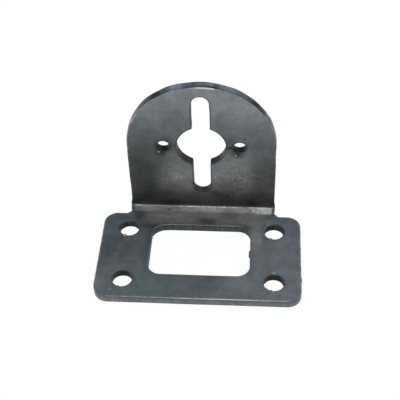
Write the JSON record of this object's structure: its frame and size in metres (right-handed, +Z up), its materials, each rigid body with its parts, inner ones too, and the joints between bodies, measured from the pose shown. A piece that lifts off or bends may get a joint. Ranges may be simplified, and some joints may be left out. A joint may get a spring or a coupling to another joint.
{
  "type": "motor mounting bracket",
  "caption": "Folded steel bracket for a small motor: an arched upright with a pilot hole, an upright slot and screw holes, on a foot with bolt holes round a window.",
  "frame": {"origin": "middle of the four foot holes, on the foot's underside", "axes": "+X along the fold, +Y from the foot's front edge to the upright, +Z up"},
  "size_m": [0.0668, 0.0425, 0.0562],
  "materials": {
    "bracket_steel": "dark mill-scaled steel sheet, half gloss, a little brown along the fold"
  },
  "bodies": {
    "root": {"motor_bracket": "bracket_steel"}
  },
  "joints": []
}
